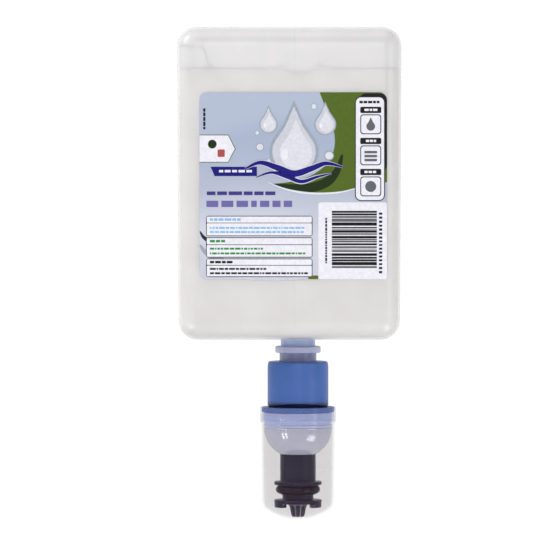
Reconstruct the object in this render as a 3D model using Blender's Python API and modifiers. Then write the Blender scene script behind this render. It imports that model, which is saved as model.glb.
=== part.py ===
"""Hand soap refill pack: a one-litre bottle that hangs in a wall dispenser with its dosing pump downwards.

Metres, +Z up, label towards -Y. The origin lies on the pump's axis, in the plane of the bottle's underside.
"""

import math

import bmesh
import bpy
from mathutils import Matrix

MM = 0.001
GAP = 0.3                     # clearance between neighbouring pieces, mm

# Bottle, mm
BOTTLE_WIDTH = 119.2
BOTTLE_TAPER = 0.987          # the body narrows this much towards the neck
BOTTLE_DEPTH = 64.0
BOTTLE_HEIGHT = 165.9
BOTTLE_CENTRE_X = -4.7        # the neck stands a little to one side of the middle
BOTTLE_RADIUS = 10.5
BOTTLE_WALL = 1.1
FILL_LEVEL = 144.0

NECK_RADIUS = 9.2
NECK_FOOT_RADIUS = 9.85        # between the ring and the collar
NECK_BORE = 7.9
NECK_RING_RADIUS = 12.15
NECK_RING_TOP = -2.7
NECK_RING_FOOT = -6.3
NECK_MOUTH = -18.5

# Label, mm
LABEL_WIDTH = 99.2
LABEL_HEIGHT = 98.9
LABEL_CENTRE_X = -2.6
LABEL_CENTRE_Z = 81.9
LABEL_RADIUS = 4.3
LABEL_THICKNESS = 0.3

# Pump, mm; heights are measured from the pump's own zero, which hangs below the origin
PUMP_DROP = 1.5
COLLAR_RADIUS = 16.25
COLLAR_TOP = -10.9
COLLAR_FOOT = -34.4
COLLAR_ARCH_RISE = 1.3        # the foot of the collar lifts this much at the front and the back
COLLAR_ARCH_HALF_WIDTH = 13.5
FLANGE_RADIUS = 19.3
FLANGE_TOP = -35.2
FLANGE_FOOT = -37.8
BELL_RADIUS = 18.25
BELL_WALL = 1.1
BELL_CENTRE_Z = -46.5
BELL_DEPTH = 16.6             # from that centre down to where the round end would close
STEM_RADIUS = 9.5
STEM_FLANGE_RADIUS = 12.65
STEM_FOOT = -86.9
STEM_FEET = -88.9             # the four feet reach this far down
NOZZLE_TIP = -94.1
CHAMBER_RADIUS = 4.05
ROD_RADIUS = 3.2
INLET_BALL_RADIUS = 2.4
INLET_BALL_Z = 0.85
OUTLET_BALL_RADIUS = 2.0
OUTLET_BALL_Z = -78.33

# Overcap, mm
CAP_RIM_RADIUS = 20.45
CAP_TOP = -35.3
CAP_RIM_FOOT = -43.1
CAP_BODY_TOP_RADIUS = 19.75
CAP_BODY_FOOT_RADIUS = 19.2
CAP_SHOULDER = -86.6
CAP_FOOT = -95.6
CAP_WALL = 1.05

ROUND_STEPS = 32
SMALL_STEPS = 24


def remove_everything():
    for old in list(bpy.data.objects):
        bpy.data.objects.remove(old, do_unlink=True)


def make_collection(name):
    collection = bpy.data.collections.new(name)
    bpy.context.scene.collection.children.link(collection)
    return collection


def make_material(name, colour, roughness, metallic=0.0, alpha=1.0):
    material = bpy.data.materials.new(name)
    material.use_nodes = True
    shader = material.node_tree.nodes["Principled BSDF"]
    shader.inputs["Base Color"].default_value = (*colour, 1.0)
    shader.inputs["Roughness"].default_value = roughness
    shader.inputs["Metallic"].default_value = metallic
    shader.inputs["Alpha"].default_value = alpha
    return material


def add_object(name, mesh, collection, material=None):
    piece = bpy.data.objects.new(name, mesh)
    collection.objects.link(piece)
    if material:
        mesh.materials.append(material)
    return piece


def shade(piece, angle=35.0):
    piece.data.shade_smooth()
    piece.data.set_sharp_from_angle(angle=math.radians(angle))


def arc(centre_r, centre_z, radius, start, end, count):
    """Points of an arc in the turning plane, angles in degrees from the outward direction."""
    points = []
    for i in range(count + 1):
        angle = math.radians(start + (end - start) * i / count)
        points.append((centre_r + radius * math.cos(angle), centre_z + radius * math.sin(angle)))
    return points


def turned(name, profile, collection, material=None, steps=ROUND_STEPS, closed=True):
    """A turned piece on the pump's axis: the profile runs down the outer side and, if closed, up the inner."""
    mesh = bpy.data.meshes.new(name)
    points = [(r * MM, 0.0, z * MM) for r, z in profile]
    edges = [(i, i + 1) for i in range(len(points) - 1)]
    if closed:
        edges.append((len(points) - 1, 0))
    mesh.from_pydata(points, edges, [])
    piece = add_object(name, mesh, collection, material)
    screw = piece.modifiers.new("turn", "SCREW")
    screw.axis = "Z"
    screw.angle = 2.0 * math.pi
    screw.steps = steps
    screw.render_steps = steps
    screw.use_merge_vertices = True
    screw.merge_threshold = 0.00001
    screw.use_smooth_shade = True
    hang(piece)
    return piece


def hang(piece):
    """Parents a piece to the pump's zero, in whose frame its own place is given."""
    piece.parent = bpy.data.objects["pump_zero"]


def block(name, size, centre, collection, material=None, radius=0.0, segments=3, taper=1.0):
    """A box, sizes and centre in mm, its width narrowed at the foot by taper, its edges rounded by a radius."""
    mesh = bpy.data.meshes.new(name)
    form = bmesh.new()
    bmesh.ops.create_cube(form, size=1.0)
    bmesh.ops.scale(form, vec=[s * MM for s in size], verts=form.verts)
    bmesh.ops.scale(form, vec=(taper, 1.0, 1.0), verts=[v for v in form.verts if v.co.z < 0.0])
    form.to_mesh(mesh)
    form.free()
    piece = add_object(name, mesh, collection, material)
    piece.location = [c * MM for c in centre]
    if radius:
        rounding = piece.modifiers.new("round", "BEVEL")
        rounding.width = radius * MM
        rounding.segments = segments
        rounding.limit_method = "NONE"
    return piece


def ball(name, radius, z, collection, material):
    mesh = bpy.data.meshes.new(name)
    form = bmesh.new()
    bmesh.ops.create_uvsphere(form, u_segments=16, v_segments=10, radius=radius * MM)
    form.to_mesh(mesh)
    form.free()
    piece = add_object(name, mesh, collection, material)
    piece.location = (0.0, 0.0, z * MM)
    hang(piece)
    shade(piece, 60.0)
    return piece


def coil(name, mean_radius, wire, top, foot, turns, points_a_turn, collection, material):
    """A compression spring: full turns of wire between two heights."""
    curve = bpy.data.curves.new(name, "CURVE")
    curve.dimensions = "3D"
    curve.bevel_depth = 0.5 * wire * MM
    curve.bevel_resolution = 1
    curve.use_fill_caps = True
    line = curve.splines.new("POLY")
    count = int(turns * points_a_turn) + 1
    line.points.add(count - 1)
    high = top - 0.5 * wire
    low = foot + 0.5 * wire
    for i, point in enumerate(line.points):
        share = i / (count - 1)
        angle = 2.0 * math.pi * turns * share
        x = mean_radius * math.cos(angle) * MM
        y = mean_radius * math.sin(angle) * MM
        point.co = (x, y, (high + (low - high) * share) * MM, 1.0)
    piece = bpy.data.objects.new(name, curve)
    curve.materials.append(material)
    collection.objects.link(piece)
    hang(piece)
    return piece


def cut(piece, cutter, operation="DIFFERENCE"):
    change = piece.modifiers.new(cutter.name, "BOOLEAN")
    change.operation = operation
    change.object = cutter
    change.solver = "EXACT"
    return change


def hide_cutter(cutter):
    cutter.hide_render = True
    cutter.display_type = "WIRE"


def rim_edge(radius, z, round_size, outward_down=True):
    """A rounded outer corner at a radius and a height, as points from top to side or side to foot."""
    if outward_down:
        return arc(radius - round_size, z - round_size, round_size, 90.0, 0.0, 3)
    return arc(radius - round_size, z + round_size, round_size, 0.0, -90.0, 3)


def build_bottle(parts, cutters, material):
    """A blow-moulded bottle with its neck below, open at the neck's mouth."""
    centre = (BOTTLE_CENTRE_X, 0.0, BOTTLE_HEIGHT / 2)
    bottle = block("soap_bottle", (BOTTLE_WIDTH, BOTTLE_DEPTH, BOTTLE_HEIGHT), centre, parts, material,
                   BOTTLE_RADIUS, 5, BOTTLE_TAPER)
    neck_top = 4.0            # the neck reaches this far into the body before the two are joined
    neck_outline = [(0.0, neck_top), (NECK_RADIUS, neck_top), (NECK_RADIUS, NECK_RING_TOP)]
    neck_outline += rim_edge(NECK_RING_RADIUS, NECK_RING_TOP, 0.8)
    neck_outline += rim_edge(NECK_RING_RADIUS, NECK_RING_FOOT, 0.8, False)
    neck_outline += [
        (NECK_FOOT_RADIUS, NECK_RING_FOOT), (NECK_FOOT_RADIUS, -12.9),
        (10.9, -13.4), (10.9, -14.4), (9.9, -16.2),         # the bead that the collar snaps over
        (9.9, NECK_MOUTH), (0.0, NECK_MOUTH),
    ]
    neck = turned("bottle_neck_form", neck_outline, cutters, closed=False)
    hide_cutter(neck)
    hollow_size = [s - 2 * BOTTLE_WALL for s in (BOTTLE_WIDTH, BOTTLE_DEPTH, BOTTLE_HEIGHT)]
    hollow = block("bottle_hollow_form", hollow_size, centre, cutters, None,
                   BOTTLE_RADIUS - BOTTLE_WALL, 5, BOTTLE_TAPER)
    hide_cutter(hollow)
    bore = turned("bottle_bore_form",
                  [(0.0, 6.0), (NECK_BORE, 6.0), (NECK_BORE, NECK_MOUTH - 2.0), (0.0, NECK_MOUTH - 2.0)],
                  cutters, closed=False)
    hide_cutter(bore)
    cut(bottle, neck, "UNION")
    cut(bottle, hollow)
    cut(bottle, bore)
    return bottle


def build_fill(parts, cutters, material):
    """The soap, up to its level, with room for the pump's inlet turret."""
    inset = BOTTLE_WALL + GAP
    low = inset
    size = (BOTTLE_WIDTH - 2 * inset, BOTTLE_DEPTH - 2 * inset, BOTTLE_HEIGHT - 2 * inset)
    centre = (BOTTLE_CENTRE_X, 0.0, low + size[2] / 2)
    fill = block("soap_fill", size, centre, parts, material, BOTTLE_RADIUS - inset, 5, BOTTLE_TAPER)
    headspace = block("headspace_form", (140.0, 90.0, 60.0),
                      (BOTTLE_CENTRE_X, 0.0, FILL_LEVEL + 30.0), cutters)
    hide_cutter(headspace)
    turret_room = turned("turret_room_form", [(0.0, 11.6), (8.2, 11.6), (8.2, -5.0), (0.0, -5.0)],
                         cutters, closed=False)
    hide_cutter(turret_room)
    cut(fill, headspace)
    cut(fill, turret_room)
    return fill


def build_label(parts, material):
    """A printed film label with rounded corners on the front face."""
    curve = bpy.data.curves.new("front_label", "CURVE")
    curve.dimensions = "2D"
    curve.fill_mode = "BOTH"
    curve.extrude = 0.5 * LABEL_THICKNESS * MM
    half_w = LABEL_WIDTH / 2 - LABEL_RADIUS
    half_h = LABEL_HEIGHT / 2 - LABEL_RADIUS
    outline = []
    for quarter, (cx, cz) in enumerate([(half_w, half_h), (-half_w, half_h), (-half_w, -half_h),
                                        (half_w, -half_h)]):
        outline += arc(cx, cz, LABEL_RADIUS, 90.0 * quarter, 90.0 * quarter + 90.0, 4)
    line = curve.splines.new("POLY")
    line.points.add(len(outline) - 1)
    for point, (x, z) in zip(line.points, outline):
        point.co = (x * MM, z * MM, 0.0, 1.0)
    line.use_cyclic_u = True
    label = bpy.data.objects.new("front_label", curve)
    curve.materials.append(material)
    parts.objects.link(label)
    label.rotation_euler = (math.radians(90.0), 0.0, 0.0)
    face = -(BOTTLE_DEPTH / 2 + GAP + LABEL_THICKNESS / 2)
    label.location = (LABEL_CENTRE_X * MM, face * MM, LABEL_CENTRE_Z * MM)
    return label


def build_collar(parts, cutters, material):
    """The blue closure that snaps over the neck's bead and holds the pump base in its groove."""
    hole = NECK_FOOT_RADIUS + 0.35
    outline = [(hole, COLLAR_TOP)]
    outline += rim_edge(COLLAR_RADIUS, COLLAR_TOP, 1.0)
    outline += [
        (COLLAR_RADIUS, COLLAR_FOOT), (15.5, COLLAR_FOOT), (15.5, -31.2), (14.8, -31.2),
        (14.8, -30.7), (15.15, -30.4), (15.15, -28.8), (14.8, -28.5),      # the groove for the base's rib
        (14.8, -12.7), (hole, -12.7),
    ]
    collar = turned("pump_collar", outline, parts, material)
    arch_radius = (COLLAR_ARCH_HALF_WIDTH ** 2 + COLLAR_ARCH_RISE ** 2) / (2 * COLLAR_ARCH_RISE)
    mesh = bpy.data.meshes.new("collar_arch_form")
    form = bmesh.new()
    bmesh.ops.create_cone(form, cap_ends=True, segments=96, radius1=arch_radius * MM,
                          radius2=arch_radius * MM, depth=2.4 * COLLAR_RADIUS * MM)
    form.to_mesh(mesh)
    form.free()
    arch = add_object("collar_arch_form", mesh, cutters)
    arch.rotation_euler = (math.radians(90.0), 0.0, 0.0)
    arch.location = (0.0, 0.0, (COLLAR_FOOT + COLLAR_ARCH_RISE - arch_radius) * MM)
    hang(arch)
    hide_cutter(arch)
    cut(collar, arch)
    return collar


def build_foot_seal(parts, material):
    """The dark ring between the collar's foot and the base's flange, with a sleeve up inside the collar."""
    return turned("foot_seal", [(15.2, -31.5), (15.2, COLLAR_FOOT - GAP), (15.95, COLLAR_FOOT - GAP),
                                (15.95, FLANGE_TOP + GAP), (14.75, FLANGE_TOP + GAP), (14.75, -31.5)],
                  parts, material)


def build_pump_base(parts, material):
    """The blue base: a tube inside the collar, the wide flange that carries the overcap, the bell's spigot."""
    outline = [
        (14.4, -22.0), (14.4, -29.0), (14.75, -29.3), (14.75, -29.9), (14.4, -30.2),
        (14.4, FLANGE_TOP), (FLANGE_RADIUS, FLANGE_TOP), (FLANGE_RADIUS, FLANGE_FOOT),
        (16.8, FLANGE_FOOT), (16.8, -41.5), (15.6, -41.5), (15.6, FLANGE_FOOT),
        (5.9, FLANGE_FOOT), (5.9, FLANGE_TOP), (13.0, FLANGE_TOP), (13.0, -22.0),
    ]
    return turned("pump_base", outline, parts, material)


def build_gasket(parts, material):
    """The flat ring that seals the pump against the bottle's mouth."""
    top = NECK_MOUTH - GAP
    return turned("neck_gasket", [(9.9, top), (9.9, top - 1.0), (8.0, top - 1.0), (8.0, top)],
                  parts, material, SMALL_STEPS)


def build_cylinder(parts, material):
    """The dosing cylinder: inlet turret, plug skirt in the neck, clamped flange and bore."""
    flange_top = NECK_MOUTH - 2 * GAP - 1.0
    outline = [
        (3.0, 11.0), (5.6, 10.0), (5.6, 1.5), (7.5, 0.5),
        (7.5, flange_top), (14.3, flange_top), (14.3, flange_top - 1.5), (6.3, flange_top - 1.5),
        (6.3, -1.0), (5.5, -1.0), (5.5, -37.6), (CHAMBER_RADIUS, -37.6),
        (CHAMBER_RADIUS, -2.6), (3.75, -2.3), (3.75, 2.0), (1.7, 4.0), (1.7, 11.0),
    ]
    return turned("dose_cylinder", outline, parts, material, SMALL_STEPS)


def build_ball_cage(parts, cutters, material):
    """The notched ring on which the inlet ball rests."""
    cage = turned("inlet_ball_cage", [(3.4, -1.2), (3.4, -2.2), (1.6, -2.2), (1.6, -1.2)],
                  parts, material, SMALL_STEPS)
    for i in range(3):
        notch = block(f"cage_notch_form_{i + 1}", (2.2, 0.9, 3.0), (2.2, 0.0, -1.7), cutters)
        notch.data.transform(Matrix.Translation(notch.location))
        notch.location = (0.0, 0.0, 0.0)
        notch.rotation_euler = (0.0, 0.0, math.radians(120.0 * i + 30.0))
        hang(notch)
        hide_cutter(notch)
        cut(cage, notch)
    return cage


def build_rod(parts, material):
    """The hollow piston rod: a grooved head for the seal, and a shank that plugs into the stem."""
    outline = [
        (3.2, -15.0), (3.2, -16.2), (2.3, -16.2), (2.3, -20.2), (ROD_RADIUS, -20.2),
        (ROD_RADIUS, -70.0), (1.5, -70.0), (1.5, -15.0),
    ]
    return turned("piston_rod", outline, parts, material, SMALL_STEPS)


def build_piston_seal(parts, material):
    """The cup seal on the rod's head, open towards the chamber."""
    outline = [
        (3.75, -16.5), (3.6, -17.8), (3.6, -18.6), (3.75, -19.9), (2.6, -19.9),
        (2.6, -16.9), (3.1, -17.6), (3.35, -16.5),
    ]
    return turned("piston_seal", outline, parts, material, SMALL_STEPS)


def bell_curve(radius, depth, hole, count):
    """The round end's outline, from the side in to the hole at the foot."""
    last = math.acos(hole / radius)
    angles = [last * i / count for i in range(count + 1)]
    return [(radius * math.cos(a), BELL_CENTRE_Z - depth * math.sin(a)) for a in angles]


def build_bell(parts, material):
    """The round-bottomed housing over the spring, with a hole for the stem."""
    hole = STEM_RADIUS + 0.4
    top = FLANGE_FOOT - GAP
    outline = [(BELL_RADIUS, top)]
    outline += bell_curve(BELL_RADIUS, BELL_DEPTH, hole, 7)
    outline += bell_curve(BELL_RADIUS - BELL_WALL, BELL_DEPTH - BELL_WALL, hole, 7)[::-1]
    outline += [(BELL_RADIUS - BELL_WALL, top)]
    return turned("bell_housing", outline, parts, material)


def build_stem(parts, cutters, material):
    """The dark stem that the dispenser pushes up: shoulder, shank, two flanges and four feet."""
    disc_top = -55.9
    outline = [
        (11.4, disc_top), (11.4, -57.4), (STEM_RADIUS, -57.4), (STEM_RADIUS, -75.1),
        (STEM_FLANGE_RADIUS, -75.1), (STEM_FLANGE_RADIUS, -76.9),
        (8.3, -76.9), (8.3, -84.9), (STEM_FLANGE_RADIUS, -84.9), (STEM_FLANGE_RADIUS, STEM_FEET),
        (9.0, STEM_FEET), (9.0, STEM_FOOT),                       # the ring that the notches cut into feet
        (5.35, STEM_FOOT), (5.35, -84.2), (2.9, -84.2), (2.9, -78.0), (1.5, -76.6),
        (1.5, -70.4), (3.5, -70.4), (3.5, -56.6), (5.0, -56.6), (5.0, -72.0),
        (7.9, -72.0), (7.9, disc_top),
    ]
    stem = turned("actuator_stem", outline, parts, material)
    for name, size in (("stem_notch_form_1", (11.6, 30.0, 4.0)), ("stem_notch_form_2", (30.0, 3.0, 4.0))):
        notch = block(name, size, (0.0, 0.0, STEM_FOOT - 2.0), cutters)
        hang(notch)
        hide_cutter(notch)
        cut(stem, notch)
    return stem


def build_grip_ring(parts, material):
    """The fat soft ring between the stem's flanges."""
    outline = [(8.6, -77.2), (10.2, -77.2)]
    outline += arc(9.7, -79.4, 2.2, 60.0, -60.0, 6)
    outline += [(9.4, -82.0), (8.6, -82.0)]
    return turned("grip_ring", outline, parts, material)


def build_nozzle(parts, cutters, material):
    """The outlet insert, slotted round its tip."""
    top = -84.5
    outline = [
        (5.0, top), (5.0, -87.9), (4.3, -89.1), (3.9, -91.2), (3.7, -92.6), (3.0, NOZZLE_TIP),
        (2.2, NOZZLE_TIP), (2.0, -90.6), (1.2, -90.0), (1.2, top),
    ]
    nozzle = turned("outlet_nozzle", outline, parts, material, SMALL_STEPS)
    for i in range(4):
        slot = block(f"nozzle_slot_form_{i + 1}", (12.0, 0.7, 9.0), (0.0, 0.0, NOZZLE_TIP), cutters)
        slot.rotation_euler = (0.0, 0.0, math.radians(45.0 * i + 22.5))
        hang(slot)
        hide_cutter(slot)
        cut(nozzle, slot)
    return nozzle


def build_overcap(parts, material):
    """The clear cap over bell and nozzle: a rim band round the flange, a tapered wall, a domed end."""
    shoulder_round = 2.2
    dome_depth = CAP_SHOULDER - shoulder_round - CAP_FOOT
    edge_r = CAP_BODY_FOOT_RADIUS - 0.5
    dome_radius = (edge_r ** 2 + dome_depth ** 2) / (2 * dome_depth)
    dome_half = math.degrees(math.asin(edge_r / dome_radius))
    outer = [
        (CAP_RIM_RADIUS, CAP_TOP), (CAP_RIM_RADIUS, CAP_RIM_FOOT),
        (CAP_BODY_TOP_RADIUS, CAP_RIM_FOOT - 0.5), (CAP_BODY_FOOT_RADIUS, CAP_SHOULDER),
    ]
    outer += arc(0.0, CAP_FOOT + dome_radius, dome_radius, -90.0 + dome_half, -90.0, 6)
    inner_dome = dome_radius - CAP_WALL
    inner_half = math.degrees(math.asin((edge_r - CAP_WALL) / inner_dome))
    inner = arc(0.0, CAP_FOOT + dome_radius, inner_dome, -90.0, -90.0 + inner_half, 6)
    inner += [
        (CAP_BODY_FOOT_RADIUS - CAP_WALL, CAP_SHOULDER),
        (CAP_BODY_TOP_RADIUS - CAP_WALL, CAP_RIM_FOOT + 0.3), (FLANGE_RADIUS + GAP, CAP_RIM_FOOT + 0.8),
        (FLANGE_RADIUS + GAP, CAP_TOP),
    ]
    return turned("overcap", outer + inner, parts, material)


def main():
    remove_everything()
    parts = make_collection("hand_soap_refill_pack")
    cutters = make_collection("cutters")
    zero = bpy.data.objects.new("pump_zero", None)
    parts.objects.link(zero)
    zero.location = (0.0, 0.0, -PUMP_DROP * MM)

    milky = make_material("bottle_plastic", (0.86, 0.85, 0.84), 0.35, alpha=0.5)
    soap = make_material("soap", (0.80, 0.77, 0.73), 0.2)
    print_film = make_material("label_film", (0.80, 0.86, 0.91), 0.4)
    blue = make_material("blue_plastic", (0.07, 0.15, 0.43), 0.45)
    dark_rubber = make_material("dark_rubber", (0.01, 0.01, 0.02), 0.5)
    frosted = make_material("frosted_plastic", (0.62, 0.62, 0.74), 0.3, alpha=0.7)
    charcoal = make_material("charcoal_plastic", (0.04, 0.04, 0.06), 0.35)
    gloss_rubber = make_material("gloss_rubber", (0.01, 0.01, 0.02), 0.2)
    natural = make_material("natural_plastic", (0.85, 0.85, 0.82), 0.4)
    seal_rubber = make_material("seal_rubber", (0.55, 0.57, 0.60), 0.6)
    steel = make_material("spring_steel", (0.62, 0.62, 0.63), 0.25, 1.0)
    clear = make_material("clear_plastic", (0.90, 0.88, 0.89), 0.05, alpha=0.25)

    build_bottle(parts, cutters, milky)
    build_fill(parts, cutters, soap)
    build_label(parts, print_film)
    build_collar(parts, cutters, blue)
    build_foot_seal(parts, dark_rubber)
    build_pump_base(parts, blue)
    build_gasket(parts, seal_rubber)
    build_cylinder(parts, blue)
    build_ball_cage(parts, cutters, natural)
    ball("inlet_ball", INLET_BALL_RADIUS, INLET_BALL_Z, parts, steel)
    build_rod(parts, natural)
    build_piston_seal(parts, seal_rubber)
    build_bell(parts, frosted)
    coil("return_spring", 9.6, 1.2, FLANGE_FOOT - GAP, -55.6, 5.0, 12, parts, steel)
    build_stem(parts, cutters, charcoal)
    build_grip_ring(parts, gloss_rubber)
    ball("outlet_ball", OUTLET_BALL_RADIUS, OUTLET_BALL_Z, parts, steel)
    coil("outlet_spring", 1.6, 0.4, OUTLET_BALL_Z - OUTLET_BALL_RADIUS - GAP, -84.2, 3.0, 10, parts, steel)
    build_nozzle(parts, cutters, charcoal)
    build_overcap(parts, clear)


main()
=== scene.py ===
import math
import random

import bmesh
import bpy
from mathutils import Matrix, Vector


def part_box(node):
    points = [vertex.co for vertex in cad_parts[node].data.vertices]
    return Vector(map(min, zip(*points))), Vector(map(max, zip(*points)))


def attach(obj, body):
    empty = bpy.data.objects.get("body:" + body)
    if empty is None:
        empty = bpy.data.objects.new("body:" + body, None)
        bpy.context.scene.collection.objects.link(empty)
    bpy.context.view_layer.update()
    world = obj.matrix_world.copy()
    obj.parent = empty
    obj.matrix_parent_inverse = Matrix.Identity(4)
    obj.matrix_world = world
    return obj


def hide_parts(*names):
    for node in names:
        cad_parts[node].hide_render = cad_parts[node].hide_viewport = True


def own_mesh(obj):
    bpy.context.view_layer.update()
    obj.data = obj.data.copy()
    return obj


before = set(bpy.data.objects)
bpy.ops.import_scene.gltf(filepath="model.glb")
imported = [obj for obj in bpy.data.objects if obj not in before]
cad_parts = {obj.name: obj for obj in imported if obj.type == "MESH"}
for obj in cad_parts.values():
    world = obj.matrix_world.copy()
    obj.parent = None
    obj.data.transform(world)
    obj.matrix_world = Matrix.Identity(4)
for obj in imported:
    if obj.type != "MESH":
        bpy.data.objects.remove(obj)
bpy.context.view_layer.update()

mm = 0.001
pumpDrop = 1.5        # the pump's own zero hangs this far below the origin
print("frame loaded:", len(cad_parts), "nodes")


def newMaterial(name, colour, roughness, **sockets):
    material = bpy.data.materials.new(name)
    material.use_nodes = True
    shader = material.node_tree.nodes["Principled BSDF"]
    shader.inputs["Base Color"].default_value = (*colour, 1.0)
    shader.inputs["Roughness"].default_value = roughness
    for socket, value in sockets.items():
        shader.inputs[socket].default_value = value
    return material, shader


def noiseColour(material, shader, dark, light, scale, detail=3.0, stretch=(1, 1, 1)):
    # soft mottling between two close colours, in metres of Object space
    tree = material.node_tree
    coords = tree.nodes.new("ShaderNodeTexCoord")
    mapping = tree.nodes.new("ShaderNodeMapping")
    mapping.inputs["Scale"].default_value = stretch
    noise = tree.nodes.new("ShaderNodeTexNoise")
    noise.inputs["Scale"].default_value = scale
    noise.inputs["Detail"].default_value = detail
    ramp = tree.nodes.new("ShaderNodeValToRGB")
    ramp.color_ramp.elements[0].position = 0.3
    ramp.color_ramp.elements[1].position = 0.7
    ramp.color_ramp.elements[0].color = (*dark, 1.0)
    ramp.color_ramp.elements[1].color = (*light, 1.0)
    tree.links.new(coords.outputs["Object"], mapping.inputs["Vector"])
    tree.links.new(mapping.outputs["Vector"], noise.inputs["Vector"])
    tree.links.new(noise.outputs["Fac"], ramp.inputs["Fac"])
    tree.links.new(ramp.outputs["Color"], shader.inputs["Base Color"])
    return mapping, ramp


def addBump(material, shader, scale, strength, depth, stretch=(1, 1, 1)):
    tree = material.node_tree
    coords = tree.nodes.new("ShaderNodeTexCoord")
    mapping = tree.nodes.new("ShaderNodeMapping")
    mapping.inputs["Scale"].default_value = stretch
    noise = tree.nodes.new("ShaderNodeTexNoise")
    noise.inputs["Scale"].default_value = scale
    noise.inputs["Detail"].default_value = 2.0
    bump = tree.nodes.new("ShaderNodeBump")
    bump.inputs["Strength"].default_value = strength
    bump.inputs["Distance"].default_value = depth
    tree.links.new(coords.outputs["Object"], mapping.inputs["Vector"])
    tree.links.new(mapping.outputs["Vector"], noise.inputs["Vector"])
    tree.links.new(noise.outputs["Fac"], bump.inputs["Height"])
    tree.links.new(bump.outputs["Normal"], shader.inputs["Normal"])


def plastic(name, dark, light, roughness, grain=900, bump=0.15, **sockets):
    material, shader = newMaterial(name, light, roughness, **sockets)
    noiseColour(material, shader, dark, light, 60)
    addBump(material, shader, grain, bump, 0.00005)
    return material


def paintFootShade(material, low, high, share):
    # painted shade: the colour falls to this share of itself between two heights in mm
    tree = material.node_tree
    colour = tree.nodes["Principled BSDF"].inputs["Base Color"]
    source = colour.links[0].from_socket
    coords = tree.nodes.new("ShaderNodeTexCoord")
    split = tree.nodes.new("ShaderNodeSeparateXYZ")
    fade = tree.nodes.new("ShaderNodeMapRange")
    fade.interpolation_type = "SMOOTHSTEP"
    fade.inputs["From Min"].default_value = low * mm
    fade.inputs["From Max"].default_value = high * mm
    fade.inputs["To Min"].default_value = share
    scale = tree.nodes.new("ShaderNodeVectorMath")
    scale.operation = "SCALE"
    tree.links.new(coords.outputs["Object"], split.inputs["Vector"])
    tree.links.new(split.outputs["Z"], fade.inputs["Value"])
    tree.links.new(source, scale.inputs[0])
    tree.links.new(fade.outputs["Result"], scale.inputs["Scale"])
    tree.links.new(scale.outputs["Vector"], colour)


def ink(name, colour, roughness=0.38):
    # printing ink with a faint mottle
    material, shader = newMaterial(name, colour, roughness, **dull)
    noiseColour(material, shader, [c * 0.93 for c in colour], [min(1, c * 1.05) for c in colour],
                700)
    return material


dull = {"Specular IOR Level": 0.2}
milky = plastic("milkyPolyethylene", (0.865, 0.855, 0.865), (0.915, 0.905, 0.915), 0.26, 220, 0.12,
                **{"Alpha": 0.53, "Coat Weight": 0.6, "Coat Roughness": 0.2})
# painted shade: the bottle darkens over its lowest 9 mm, towards its underside
paintFootShade(milky, 0.0, 9.0, 0.80)
neckMilky = plastic("neckPolyethylene", (0.44, 0.53, 0.86), (0.54, 0.64, 0.94), 0.22, 300, 0.2,
                    Alpha=0.74)
# painted shade: the lower neck, between the neck ring and the collar, is darker than the upper neck
shadedNeckThread = plastic("neckThreadShade", (0.17, 0.19, 0.36), (0.40, 0.43, 0.66), 0.22, 300, 0.2, Alpha=0.80)
ringMilky = plastic("neckRingPolyethylene", (0.45, 0.48, 0.70), (0.51, 0.54, 0.77), 0.22, 300, 0.2,
                    Alpha=0.72)
seamPlastic = plastic("seamRidge", (0.92, 0.91, 0.93), (0.95, 0.94, 0.96), 0.3, 600, 0.1,
                      Alpha=0.07)
soap = plastic("soapLiquid", (0.93, 0.865, 0.79), (0.955, 0.90, 0.83), 0.2, 25, 0.1)
filmLine = plastic("foamFilmEdge", (0.36, 0.35, 0.37), (0.44, 0.43, 0.45), 0.5, 800, 0.1)
bluePlastic = plastic("bluePolypropylene", (0.052, 0.122, 0.375), (0.066, 0.148, 0.43), 0.42, 1400, 0.3,
                      **{"Specular IOR Level": 0.35})
collarBlueFootShade = plastic("collarPolypropyleneFootShade", (0.050, 0.120, 0.375), (0.066, 0.148, 0.44), 0.40, 1400, 0.3,
                     **{"Specular IOR Level": 0.35})
paintFootShade(collarBlueFootShade, -35.9, -33.0, 0.12)     # painted shade: the collar darkens over its lowest 3 mm, where it meets the flange
# the seal ring is part of the pump; its near-black tone is painted shade where the collar meets the flange
sealShadeRubber = plastic("footSealShadeRubber", (0.001, 0.004, 0.035), (0.002, 0.008, 0.055), 0.6, 1500, 0.4,
                     **dull)
frosted = plastic("frostedPolypropylene", (0.53, 0.55, 0.68), (0.59, 0.61, 0.74), 0.14, 500, 0.05,
                  **{"Specular IOR Level": 0.9, "Coat Weight": 0.8, "Coat IOR": 1.7,
                     "Coat Roughness": 0.12})
bandTint = plastic("frostedBand", (0.56, 0.62, 0.90), (0.62, 0.68, 0.95), 0.16, 500, 0.05,
                   **{"Coat Weight": 0.5, "Coat Roughness": 0.12})
charcoal = plastic("charcoalPlastic", (0.001, 0.009, 0.028), (0.004, 0.016, 0.044), 0.34, 1600, 0.3,
                   **{"Specular IOR Level": 0.3})
glossBlack = plastic("glossElastomer", (0.0005, 0.003, 0.009), (0.001, 0.005, 0.015), 0.16, 900, 0.2,
                     **dull)
# the core is paler than the ribs so that it shows between them as light streaks: painted highlight on a
# real core
nozzleCoreHighlight = plastic("nozzleCorePlastic", (0.16, 0.15, 0.18), (0.22, 0.21, 0.24), 0.34, 1600, 0.3)
natural = plastic("naturalPolyethylene", (0.74, 0.74, 0.71), (0.82, 0.82, 0.79), 0.4, 900, 0.2)
greyRubber = plastic("sealRubber", (0.30, 0.31, 0.33), (0.38, 0.39, 0.41), 0.6, 1800, 0.4)
steel = plastic("springSteel", (0.52, 0.52, 0.53), (0.64, 0.64, 0.65), 0.22, 2500, 0.2, Metallic=1.0)
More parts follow.
